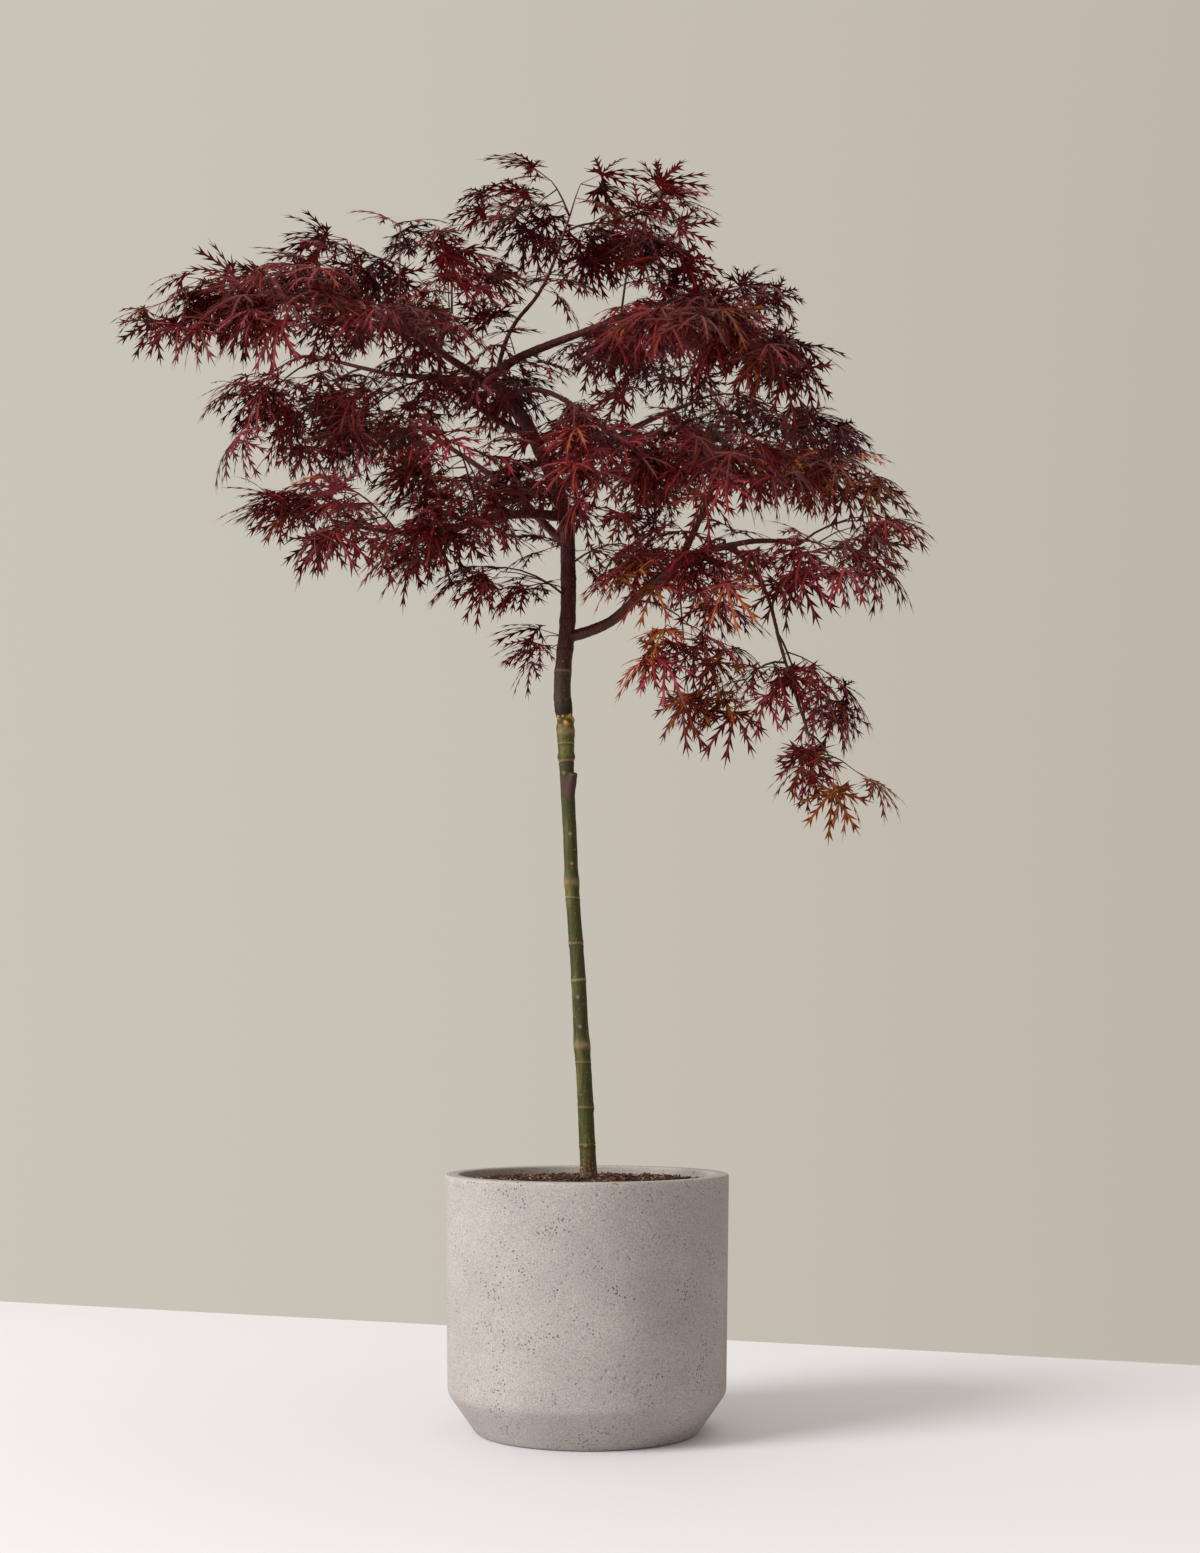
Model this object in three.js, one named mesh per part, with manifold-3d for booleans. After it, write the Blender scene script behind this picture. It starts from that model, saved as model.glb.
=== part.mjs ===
// A weeping lace-leaf maple, grafted on a slim green stem, in a plain round concrete pot.
// Millimetres, +Z up. The origin is on the ground, under the middle of the pot.
// +X is the side with the long hanging tail of leaves, and -Y is the front.
import * as THREE from 'three';
import { mergeVertices } from 'three/addons/utils/BufferGeometryUtils.js';
import Module from 'manifold-3d';

const wasm = await Module();
wasm.setup();

const GAP = 0.3; // clear space between two pieces that touch
const WELD = 1e-3; // points closer than this are one point

// pot
const POT_HEIGHT = 254;
const POT_RADIUS = 140; // at the rim
const POT_DRAFT = 2.5; // how much the side leans in on its way down
const FOOT_RADIUS = 110;
const CHAMFER_HEIGHT = 40; // of the slanted band above the foot
const WALL = 14;
const BASE_THICKNESS = 22;
const RIM_BEVEL = 1.5;
const POT_SIDES = 48;
const DRAIN_HOLES = 3;
const DRAIN_RADIUS = 6;
const DRAIN_CIRCLE = 55; // the holes stand on this radius, clear of the middle of the base

// compost
const COMPOST_EDGE = 243; // height where it meets the wall
const COMPOST_TOP = 248.5; // height of the low mound round the stem

// stem: the grafted joint between the two plants lies at this height
const GRAFT_HEIGHT = 707;

// twigs and leaves
const TWIG_RADII = [1.4, 0.7];
const TWIG_LIFTS = [0.2, 0.12, 0.3, 0.04, 0.42]; // arch of a twig, as a part of its span
const TWIG_STEPS = 2;
const TWIG_SIDES = 4;
const LEAF_LENGTH = 78;
const LEAF_STALK = 16;
const LEAF_THICKNESS = 0.8;
const LEAF_DROOP = 9; // how far a lobe's tip hangs below the leaf's middle
const LEAF_PITCHES = [0.35, 0.6, 0.15, 0.85, -0.1]; // radians below level, tried in turn
const LEAF_PAIR = 0.66; // place of the opposite pair along the twig
const PAIR_ANGLE = 1.05; // radians between the twig and a side leaf

const finish = (color, roughness) =>
  new THREE.MeshStandardMaterial({ color, roughness, metalness: 0 });
const concrete = finish(0xa0988f, 0.85);
const peat = finish(0x3a241a, 0.95);
const greenBark = finish(0x5f6e37, 0.65);
const redBark = finish(0x43221f, 0.6);
const redLeaf = finish(0x571a1f, 0.55);

const group = new THREE.Group();

// ---- solids ---------------------------------------------------------------------------------

function toSolid(geometry) {
  const bare = new THREE.BufferGeometry();
  bare.setAttribute('position', geometry.getAttribute('position'));
  bare.setIndex(geometry.getIndex());
  const merged = mergeVertices(bare, WELD);
  return new wasm.Manifold(
    new wasm.Mesh({
      numProp: 3,
      vertProperties: new Float32Array(merged.getAttribute('position').array),
      triVerts: new Uint32Array(merged.getIndex().array),
    }),
  );
}

function toGeometry(solid) {
  const mesh = solid.getMesh();
  const geometry = new THREE.BufferGeometry();
  geometry.setAttribute('position', new THREE.BufferAttribute(mesh.vertProperties, 3));
  geometry.setIndex(new THREE.BufferAttribute(mesh.triVerts, 1));
  geometry.computeVertexNormals();
  return geometry;
}

const union = (solids) => solids.reduce((whole, piece) => whole.add(piece));
const overlap = (a, b) => a.intersect(b).volume() > 0;

// A cut can leave crumbs behind: only the largest piece is the part.
function largest(solid) {
  return solid.decompose().reduce((best, piece) => (piece.volume() > best.volume() ? piece : best));
}

// Welding first lets go of any crumb that hangs on by less than the weld.
function add(name, solid, material) {
  const whole = largest(toSolid(toGeometry(solid)));
  const mesh = new THREE.Mesh(toGeometry(whole), material);
  mesh.name = name;
  group.add(mesh);
}

// A round, closed tube along a curve. The radii are spread evenly over the curve's own points.
function taperedTube(curve, radii, steps, sides) {
  const tube = new THREE.CylinderGeometry(1, 1, 1, sides, steps);
  const frames = curve.computeFrenetFrames(steps, false);
  const position = tube.getAttribute('position');
  for (let i = 0; i < position.count; i += 1) {
    const step = Math.round((position.getY(i) + 0.5) * steps);
    const place = curve.getUtoTmapping(step / steps) * (radii.length - 1);
    const before = Math.min(Math.floor(place), radii.length - 2);
    const radius = THREE.MathUtils.lerp(radii[before], radii[before + 1], place - before);
    const point = curve
      .getPointAt(step / steps)
      .addScaledVector(frames.normals[step], position.getX(i) * radius)
      .addScaledVector(frames.binormals[step], -position.getZ(i) * radius);
    position.setXYZ(i, point.x, point.y, point.z);
  }
  return toSolid(tube);
}

const smoothCurve = (points) =>
  new THREE.CatmullRomCurve3(points.map((point) => new THREE.Vector3(...point)));

// The same tube with the gap all round it and past its far end, for cutting what starts on it.
function clearance(points, radii, steps, sides) {
  const ends = points.slice(-2).map((point) => new THREE.Vector3(...point));
  const past = ends[1].clone().addScaledVector(ends[1].clone().sub(ends[0]).normalize(), GAP);
  const longer = smoothCurve([...points.slice(0, -1), past.toArray()]);
  return taperedTube(longer, radii.map((radius) => radius + GAP), steps, sides);
}

// ---- pot and compost ------------------------------------------------------------------------

function turned(profile) {
  const points = profile.map(([radius, height]) => new THREE.Vector2(radius, height));
  return toSolid(new THREE.LatheGeometry(points, POT_SIDES).rotateX(Math.PI / 2));
}

const sideRadius = (height) =>
  POT_RADIUS - (POT_DRAFT * (POT_HEIGHT - height)) / (POT_HEIGHT - CHAMFER_HEIGHT);
const innerRadius = (height) => sideRadius(height) - WALL;
const INNER_FOOT = FOOT_RADIUS - 6;
const INNER_CHAMFER = CHAMFER_HEIGHT + 4;

function makePot() {
  const shell = turned([
    [0, 0],
    [FOOT_RADIUS, 0],
    [sideRadius(CHAMFER_HEIGHT), CHAMFER_HEIGHT],
    [sideRadius(POT_HEIGHT), POT_HEIGHT - RIM_BEVEL],
    [POT_RADIUS - RIM_BEVEL, POT_HEIGHT],
    [innerRadius(POT_HEIGHT) + RIM_BEVEL, POT_HEIGHT],
    [innerRadius(POT_HEIGHT), POT_HEIGHT - RIM_BEVEL],
    [innerRadius(INNER_CHAMFER), INNER_CHAMFER],
    [INNER_FOOT, BASE_THICKNESS],
    [0, BASE_THICKNESS],
  ]);
  let pot = shell;
  for (let i = 0; i < DRAIN_HOLES; i += 1) {
    const angle = Math.PI / 2 + (i * 2 * Math.PI) / DRAIN_HOLES;
    const hole = new THREE.CylinderGeometry(DRAIN_RADIUS, DRAIN_RADIUS, 3 * BASE_THICKNESS, 16)
      .rotateX(Math.PI / 2)
      .translate(DRAIN_CIRCLE * Math.cos(angle), DRAIN_CIRCLE * Math.sin(angle), 0);
    pot = pot.subtract(toSolid(hole));
  }
  return pot;
}

function makeCompost(stemClearance) {
  const soil = turned([
    [0, BASE_THICKNESS + GAP],
    [INNER_FOOT - GAP, BASE_THICKNESS + GAP],
    [innerRadius(INNER_CHAMFER) - GAP, INNER_CHAMFER],
    [innerRadius(COMPOST_EDGE) - GAP, COMPOST_EDGE],
    [90, (COMPOST_EDGE + COMPOST_TOP) / 2],
    [0, COMPOST_TOP],
  ]);
  return largest(soil.subtract(stemClearance));
}

// ---- stem and limbs -------------------------------------------------------------------------

// Each route is one run of wood: its piece, the points it passes, and its radii along the way.
const ROUTES = {
  rootstock: {
    piece: 'rootstock',
    steps: 22,
    sides: 10,
    radii: [14, 12, 8, 7.8, 7.6, 7.4, 7.1, 6.9, 6.7, 6.6, 6.8, 8.4, 8],
    points: [
      [5, 0, 165],
      [4, 0, 205],
      [2, 0, 250],
      [0, 0, 287],
      [-2, 0, 337],
      [-6, 0, 396],
      [-8, 0, 440],
      [-11, 0, 485],
      [-15, 0, 539],
      [-17, 0, 594],
      [-20, 0, 648],
      [-21, 0, 690],
      [-22, 0, GRAFT_HEIGHT],
    ],
  },
  root_front: {
    piece: 'rootstock',
    steps: 3,
    radii: [9, 5, 2.5],
    points: [
      [4, 0, 200],
      [18, -48, 168],
      [30, -92, 96],
    ],
  },
  root_left: {
    piece: 'rootstock',
    steps: 3,
    radii: [9, 5, 2.5],
    points: [
      [3, 0, 195],
      [-46, -14, 160],
      [-92, -24, 104],
    ],
  },
  root_back: {
    piece: 'rootstock',
    steps: 3,
    radii: [8, 5, 2.5],
    points: [
      [4, 0, 190],
      [-14, 44, 150],
      [-22, 88, 84],
    ],
  },
  root_right: {
    piece: 'rootstock',
    steps: 3,
    radii: [9, 5, 2.5],
    points: [
      [5, 0, 196],
      [54, 16, 164],
      [94, 30, 92],
    ],
  },
  scion: {
    piece: 'scion',
    steps: 14,
    sides: 9,
    radii: [8.2, 7.6, 7.3, 7, 6.8, 6.5, 6.2, 6, 5.8, 5.4, 5],
    points: [
      [-22, 0, GRAFT_HEIGHT - 1],
      [-25, 0, 737],
      [-21, 0, 776],
      [-18, 0, 821],
      [-19, 2, 861],
      [-20, 5, 901],
      [-29, 8, 932],
      [-42, 10, 962],
      [-57, 10, 992],
      [-74, 8, 1021],
      [-102, 5, 1041],
    ],
  },
  right_low: {
    piece: 'limb_right_low',
    radii: [5.5, 5, 4.4, 3.6],
    points: [
      [-18, 0, 784],
      [24, -18, 795],
      [55, -39, 822],
      [91, -65, 845],
    ],
  },
  right_rise: {
    piece: 'limb_right_low',
    radii: [3.4, 2.8, 2],
    points: [
      [89, -64, 844],
      [112, -52, 895],
      [130, -45, 937],
      [158, -45, 966],
    ],
  },
  right_reach: {
    piece: 'limb_right_low',
    radii: [3.2, 2.6, 1.8],
    points: [
      [89, -64, 844],
      [126, -95, 850],
      [165, -125, 850],
      [196, -140, 842],
    ],
  },
  tail: {
    piece: 'limb_right_low',
    radii: [2.2, 1.8, 1.3],
    points: [
      [135, -102, 850],
      [165, -103, 818],
      [184, -88, 755],
      [213, -70, 677],
    ],
  },
  left_low: {
    piece: 'limb_left_low',
    radii: [5, 4.4, 3.8, 3.2],
    points: [
      [-21, 5, 903],
      [-51, -25, 900],
      [-111, -80, 878],
      [-150, -100, 851],
    ],
  },
  left_low_reach: {
    piece: 'limb_left_low',
    radii: [2.8, 2.2, 1.6],
    points: [
      [-122, -86, 872],
      [-166, -110, 860],
      [-202, -120, 861],
      [-239, -125, 869],
    ],
  },
  left_mid: {
    piece: 'limb_left_mid',
    radii: [4, 3.4, 2.8, 2.2, 1.7],
    points: [
      [-52, 10, 985],
      [-93, 40, 1011],
      [-153, 70, 1063],
      [-195, 90, 1071],
      [-285, 120, 1102],
    ],
  },
  left_mid_rise: {
    piece: 'limb_left_mid',
    radii: [2.4, 1.6],
    points: [
      [-151, 69, 1061],
      [-150, 78, 1098],
      [-141, 95, 1138],
    ],
  },
  left_top: {
    piece: 'limb_left_top',
    radii: [4, 3.6, 3.2, 2.6, 1.8],
    points: [
      [-96, 5, 1037],
      [-123, -15, 1046],
      [-161, -45, 1065],
      [-227, -60, 1091],
      [-319, -55, 1098],
    ],
  },
  crown: {
    piece: 'limb_crown',
    radii: [4.6, 4.2, 3.6, 3, 2.3],
    points: [
      [-100, 5, 1040],
      [-74, 5, 1060],
      [-12, 0, 1082],
      [40, -13, 1097],
      [111, -15, 1102],
    ],
  },
  top: {
    piece: 'limb_top',
    radii: [2.4, 2.1, 1.8, 1.3],
    points: [
      [-88, 5, 1052],
      [-76, 18, 1097],
      [-46, 25, 1134],
      [-17, 10, 1205],
    ],
  },
  arch: {
    piece: 'limb_arch',
    radii: [2.8, 2.5, 2.1, 1.6],
    points: [
      [-80, 8, 1020],
      [-52, -40, 1019],
      [0, -100, 975],
      [62, -155, 914],
    ],
  },
  back_left: {
    piece: 'limb_back_left',
    radii: [4.2, 3.6, 2.8, 1.8],
    points: [
      [-20, 3, 874],
      [-69, 80, 941],
      [-124, 150, 1001],
      [-180, 190, 1045],
    ],
  },
  back_right: {
    piece: 'limb_back_right',
    radii: [4.2, 3.6, 2.8, 1.8],
    points: [
      [-28, 8, 930],
      [13, 70, 989],
      [66, 130, 1038],
      [121, 170, 1071],
    ],
  },
};

const WOOD_STEPS = 6;
const WOOD_SIDES = 6;

// Runs of one piece are joined, and the piece is cut clear of the wood that it grows from.
function makeWood() {
  const pieces = new Map();
  for (const route of Object.values(ROUTES)) {
    const { piece, points, radii, steps = WOOD_STEPS, sides = WOOD_SIDES } = route;
    route.curve = smoothCurve(points);
    const run = taperedTube(route.curve, radii, steps, sides);
    const room = clearance(points, radii, steps, sides);
    const known = pieces.get(piece);
    pieces.set(piece, {
      solid: known ? known.solid.add(run) : run,
      room: known ? known.room.add(room) : room,
    });
  }
  const earlier = [];
  for (const wood of pieces.values()) {
    if (earlier.length) {
      wood.solid = largest(wood.solid.subtract(union(earlier)));
    }
    earlier.push(wood.room);
  }
  return pieces;
}

// ---- leaf sprays ----------------------------------------------------------------------------

// Each spray: the run it grows from, how far along that run, and where its twig ends.
const SPRAYS = [
  ['left_top', 1, [-408, -20, 1098]],
  ['left_top', 0.9, [-340, -110, 1040]],
  ['left_top', 0.84, [-325, 35, 1192]],
  ['left_top', 0.7, [-265, -140, 1025]],
  ['left_top', 0.6, [-262, -40, 1200]],
  ['left_top', 0.44, [-195, 30, 1212]],
  ['left_top', 0.3, [-170, -150, 1035]],
  ['left_mid_rise', 1, [-150, 150, 1235]],
  ['left_mid', 1, [-350, 150, 1060]],
  ['left_mid', 0.95, [-345, 60, 985]],
  ['left_mid', 0.8, [-300, 190, 1020]],
  ['left_mid', 0.62, [-235, 200, 1180]],
  ['left_mid', 0.5, [-200, 40, 1000]],
  ['left_low_reach', 1, [-290, -120, 900]],
  ['left_low_reach', 0.72, [-240, -160, 830]],
  ['left_low_reach', 0.5, [-245, -80, 940]],
  ['left_low', 0.66, [-135, -165, 925]],
  ['left_low', 0.4, [-115, -50, 835]],
  ['scion', 0.33, [-85, -40, 805]],
  ['scion', 0.42, [30, -55, 825]],
  ['top', 1, [-42, 0, 1264]],
  ['top', 0.78, [-85, -45, 1195]],
  ['top', 0.9, [35, 50, 1244]],
  ['crown', 1, [172, -20, 1092]],
  ['crown', 0.9, [160, 70, 1165]],
  ['crown', 0.82, [95, -130, 1020]],
  ['crown', 0.96, [205, -85, 1000]],
  ['crown', 0.66, [70, -50, 1195]],
  ['crown', 0.55, [60, 110, 1170]],
  ['arch', 1, [130, -215, 865]],
  ['arch', 0.72, [10, -205, 890]],
  ['right_rise', 1, [240, 20, 985]],
  ['right_rise', 0.8, [262, -100, 905]],
  ['right_reach', 1, [290, -115, 838]],
  ['right_reach', 0.94, [235, -190, 790]],
  ['right_reach', 0.4, [125, -195, 775]],
  ['right_low', 0.6, [60, -30, 760]],
  ['right_low', 0.94, [92, -125, 712]],
  ['tail', 1, [228, -60, 602]],
  ['tail', 0.62, [165, -115, 670]],
  ['tail', 0.5, [225, -30, 728]],
  ['back_left', 1, [-250, 245, 1085]],
  ['back_left', 0.8, [-120, 250, 965]],
  ['back_right', 1, [190, 215, 1065]],
  ['back_right', 0.8, [110, 235, 980]],
  ['back_right', 0.9, [70, 235, 1155]],
];

// A flat star of pointed lobes on a stalk, along +X from the origin, with its tips hanging.
function leafSolid(lobes, thickness) {
  const shape = new THREE.Shape();
  const spread = 1.9; // radians from the middle lobe to the last one
  const blade = LEAF_LENGTH - LEAF_STALK;
  const stalkHalf = 0.9;
  shape.moveTo(-stalkHalf, -stalkHalf);
  for (let i = 0; i <= 2 * (lobes - 1); i += 1) {
    const angle = spread * (i / (lobes - 1) - 1);
    const reach = i % 2 ? 0.2 : 1 - 0.42 * Math.abs(angle / spread);
    shape.lineTo(LEAF_STALK + blade * reach * Math.cos(angle), blade * reach * Math.sin(angle));
  }
  shape.lineTo(-stalkHalf, stalkHalf);
  const leaf = new THREE.ExtrudeGeometry(shape, { depth: thickness, bevelEnabled: false });
  leaf.translate(0, 0, -thickness / 2);
  const position = leaf.getAttribute('position');
  for (let i = 0; i < position.count; i += 1) {
    const out = Math.hypot(position.getX(i) - LEAF_STALK, position.getY(i)) / blade;
    const hang = position.getX(i) > 0.5 ? LEAF_DROOP * out * out : 0;
    position.setZ(i, position.getZ(i) - hang);
  }
  return toSolid(leaf);
}

const SIDE_LOBES = 5;
const END_LOBES = 7;
// The leaves of one twig: lobes, place along the twig, and turn from its direction.
const LEAVES = [
  [END_LOBES, 0.97, 0],
  [SIDE_LOBES, LEAF_PAIR, PAIR_ANGLE],
  [SIDE_LOBES, LEAF_PAIR, -PAIR_ANGLE],
];
const leaves = new Map(
  [SIDE_LOBES, END_LOBES].map((lobes) => [
    lobes,
    { solid: leafSolid(lobes, LEAF_THICKNESS), room: leafSolid(lobes, LEAF_THICKNESS + 2 * GAP) },
  ]),
);

function makeTwig([routeName, along, tip], wood, twigs) {
  const route = ROUTES[routeName];
  const start = route.curve.getPointAt(along);
  const end = new THREE.Vector3(...tip);
  const parent = wood.get(route.piece).room;
  const others = [...wood.entries()]
    .filter(([name]) => name !== route.piece)
    .map(([, piece]) => piece.solid)
    .concat(twigs.map((twig) => twig.solid));
  for (const lift of TWIG_LIFTS) {
    const peak = start.clone().lerp(end, 0.5);
    peak.z += lift * start.distanceTo(end);
    const curve = new THREE.QuadraticBezierCurve3(start, peak, end);
    const room = taperedTube(curve, TWIG_RADII.map((radius) => radius + GAP), TWIG_STEPS, TWIG_SIDES);
    const clear = largest(room.subtract(parent));
    if (!others.some((other) => overlap(clear, other))) {
      const twig = taperedTube(curve, TWIG_RADII, TWIG_STEPS, TWIG_SIDES);
      return { curve, solid: largest(twig.subtract(parent)) };
    }
  }
  throw new Error(`the twig from ${routeName} at ${along} meets other wood`);
}

// Places a leaf on a twig, at the first pitch that leaves it clear of everything else.
function growLeaf(twig, lobes, place, turn, others) {
  const point = twig.curve.getPointAt(place);
  const along = twig.curve.getTangentAt(place);
  const heading = Math.atan2(along.y, along.x) + turn;
  for (const pitch of LEAF_PITCHES) {
    const pose = new THREE.Matrix4().makeRotationFromEuler(
      new THREE.Euler(0, pitch, heading, 'ZYX'),
    );
    pose.setPosition(point);
    const { solid, room } = leaves.get(lobes);
    const clear = room.transform(pose.elements);
    if (!others.some((other) => overlap(clear, other))) {
      return solid.transform(pose.elements);
    }
  }
  return null;
}

function makeSprays(wood) {
  const twigs = [];
  for (const spray of SPRAYS) {
    twigs.push(makeTwig(spray, wood, twigs));
  }
  const sprays = twigs.map((twig) => ({ ...twig }));
  const limbs = [...wood.values()].map((piece) => piece.solid);
  sprays.forEach((spray, index) => {
    const others = limbs.concat(sprays.filter((_, i) => i !== index).map(({ solid }) => solid));
    const grown = [];
    for (const [lobes, place, turn] of LEAVES) {
      const leaf = growLeaf(spray, lobes, place, turn, others.concat(grown));
      if (leaf) {
        grown.push(leaf);
      }
    }
    spray.solid = largest(union([spray.solid, ...grown]));
  });
  return sprays;
}

// ---- assembly -------------------------------------------------------------------------------

const wood = makeWood();
add('pot', makePot(), concrete);
add('compost', makeCompost(wood.get('rootstock').room), peat);
for (const [name, piece] of wood) {
  add(name, piece.solid, name === 'rootstock' ? greenBark : redBark);
}
const counts = {};
makeSprays(wood).forEach((spray, index) => {
  const [route] = SPRAYS[index];
  counts[route] = (counts[route] ?? 0) + 1;
  add(`leaves_${route}_${counts[route]}`, spray.solid, redLeaf);
});

export default group;
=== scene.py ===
import math
import random

import bmesh
import bpy
from mathutils import Euler, Matrix, Vector, noise
from mathutils.bvhtree import BVHTree


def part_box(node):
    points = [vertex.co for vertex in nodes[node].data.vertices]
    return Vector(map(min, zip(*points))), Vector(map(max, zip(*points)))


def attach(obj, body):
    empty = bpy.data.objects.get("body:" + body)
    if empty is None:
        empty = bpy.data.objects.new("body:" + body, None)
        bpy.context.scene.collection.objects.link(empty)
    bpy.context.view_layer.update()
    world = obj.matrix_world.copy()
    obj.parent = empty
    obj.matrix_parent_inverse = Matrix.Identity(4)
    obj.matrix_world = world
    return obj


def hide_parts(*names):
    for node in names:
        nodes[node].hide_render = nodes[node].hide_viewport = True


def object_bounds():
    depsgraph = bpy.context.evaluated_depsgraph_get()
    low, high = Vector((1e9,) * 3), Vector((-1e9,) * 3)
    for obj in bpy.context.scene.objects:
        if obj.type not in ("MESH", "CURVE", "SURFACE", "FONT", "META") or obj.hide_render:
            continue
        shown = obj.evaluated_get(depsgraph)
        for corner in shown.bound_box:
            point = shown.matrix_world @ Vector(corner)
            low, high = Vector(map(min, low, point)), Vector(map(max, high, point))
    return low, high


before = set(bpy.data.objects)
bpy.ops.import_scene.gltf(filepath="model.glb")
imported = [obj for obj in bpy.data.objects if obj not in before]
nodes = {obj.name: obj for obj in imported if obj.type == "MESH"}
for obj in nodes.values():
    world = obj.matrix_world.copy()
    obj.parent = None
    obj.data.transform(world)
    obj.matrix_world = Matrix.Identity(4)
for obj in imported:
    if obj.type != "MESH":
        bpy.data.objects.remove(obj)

# a weeping lace-leaf maple on a grafted stem, in a round concrete pot: metres, +Z up
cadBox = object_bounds()
up = Vector((0, 0, 1))
weld = 1e-6


# small helpers

def srgb(red, green, blue):
    def linear(value):
        value /= 255
        return value / 12.92 if value <= 0.04045 else ((value + 0.055) / 1.055) ** 2.4
    return (linear(red), linear(green), linear(blue), 1)


def bell(distance, width):
    return math.exp(-(distance / width) ** 2)


def mergedCopy(names):
    bm = bmesh.new()
    for name in names:
        bm.from_mesh(nodes[name].data)
    bmesh.ops.remove_doubles(bm, verts=bm.verts, dist=weld)
    bm.normal_update()
    return bm


def toMesh(name, bm):
    mesh = bpy.data.meshes.new(name)
    bm.to_mesh(mesh)
    bm.free()
    return mesh


def addObject(name, bm, materials, smooth=True):
    mesh = toMesh(name, bm)
    for material in materials:
        mesh.materials.append(material)
    for face in mesh.polygons:
        face.use_smooth = smooth
    piece = bpy.data.objects.new(name, mesh)
    bpy.context.scene.collection.objects.link(piece)
    return piece


def finishPiece(piece, slot, *replaced):
    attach(piece, "root")
    if replaced:
        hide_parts(*replaced)
    return piece


def evaluatedMesh(piece):  # the mesh with its modifiers applied; the piece itself goes
    mesh = bpy.data.meshes.new_from_object(
        piece.evaluated_get(bpy.context.evaluated_depsgraph_get())
    )
    bpy.data.objects.remove(piece)
    return mesh


def fullSpin(bm, steps):  # turns an open profile into a closed solid round the Z axis
    bmesh.ops.spin(
        bm, geom=bm.verts[:] + bm.edges[:], cent=(0, 0, 0), axis=(0, 0, 1),
        angle=math.tau, steps=steps, use_merge=True,
    )
    bmesh.ops.remove_doubles(bm, verts=bm.verts, dist=weld)
    bmesh.ops.recalc_face_normals(bm, faces=bm.faces)


def pour(target, source, matrix):  # adds one mesh to another, placed by a matrix
    placed = source.copy()
    placed.transform(matrix)
    target.from_mesh(placed)
    bpy.data.meshes.remove(placed)


# material helpers

def newMaterial(name):
    material = bpy.data.materials.new(name)
    material.use_nodes = True
    return material, material.node_tree, material.node_tree.nodes["Principled BSDF"]


def addNode(tree, kind, inputs=None, **settings):
    node = tree.nodes.new(kind)
    for key, value in settings.items():
        setattr(node, key, value)
    for key, value in (inputs or {}).items():
        if isinstance(value, bpy.types.NodeSocket):
            tree.links.new(value, node.inputs[key])
        else:
            node.inputs[key].default_value = value
    return node


def objectCoords(tree, scale=(1, 1, 1)):
    coords = addNode(tree, "ShaderNodeTexCoord").outputs["Object"]
    return addNode(tree, "ShaderNodeMapping", {"Vector": coords, "Scale": scale}).outputs[0]


def noiseOn(tree, vector, scale, detail=4, roughness=0.55):
    return addNode(tree, "ShaderNodeTexNoise", {
        "Vector": vector, "Scale": scale, "Detail": detail, "Roughness": roughness,
    }).outputs[0]


def cellsOn(tree, vector, scale):
    return addNode(tree, "ShaderNodeTexVoronoi", {"Vector": vector, "Scale": scale}).outputs[0]


def ramp(tree, factor, stops):
    node = addNode(tree, "ShaderNodeValToRGB", {"Fac": factor})
    elements = node.color_ramp.elements
    while len(elements) < len(stops):
        elements.new(0.5)
    for element, (place, colour) in zip(elements, stops):
        element.position = place
        element.color = colour if isinstance(colour, tuple) else (colour, colour, colour, 1)
    return node.outputs[0]


def mixColour(tree, factor, a, b, blend="MIX"):
    node = addNode(tree, "ShaderNodeMix", data_type="RGBA", blend_type=blend)
    for index, value in ((0, factor), (6, a), (7, b)):
        if isinstance(value, bpy.types.NodeSocket):
            tree.links.new(value, node.inputs[index])
        else:
            node.inputs[index].default_value = value
    return node.outputs[2]


def maths(tree, operation, a, b=0.0):
    return addNode(tree, "ShaderNodeMath", {0: a, 1: b}, operation=operation).outputs[0]


def attribute(tree, name):
    return addNode(tree, "ShaderNodeAttribute", attribute_name=name).outputs["Fac"]


def addBump(tree, shader, height, distance, strength=1.0):
    bump = addNode(tree, "ShaderNodeBump", {
        "Height": height, "Distance": distance, "Strength": strength,
    })
    tree.links.new(bump.outputs[0], shader.inputs["Normal"])


# camera, floor and light

view = {
    "distance": 2.06,  # from the pot's middle to the lens
    "height": 0.383,
    "aim": 0.4,  # height on the stem that the lamps face
    "lens": 48.3,
    "shift": (0.0084, 0.1715),
    "floorEdge": (-0.07, 0.72, -21),  # a point on the floor's far edge, and its turn
    "floorSize": 5.0,
    "wall": (srgb(203, 197, 186), srgb(198, 192, 181), srgb(190, 183, 172)),  # left to right
    "floor": srgb(232, 231, 236),
}
lights = {  # place, width and watts of each round soft lamp; all face the stem
    "key": ((-4.75, -2.75, 2.8), 3.0, 395, (1, 0.99, 0.985)),
    "overhead": ((0.5, 0.3, 3.4), 2.5, 18, (1, 1, 1)),
}


def makeCamera():
    data = bpy.data.cameras.new("camera")
    data.sensor_width = 36
    data.lens = view["lens"]
    data.shift_x, data.shift_y = view["shift"]
    camera = bpy.data.objects.new("camera", data)
    camera.location = (0, -view["distance"], view["height"])
    camera.rotation_euler = (math.radians(90), 0, 0)
    bpy.context.scene.collection.objects.link(camera)
    bpy.context.scene.camera = camera


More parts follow.
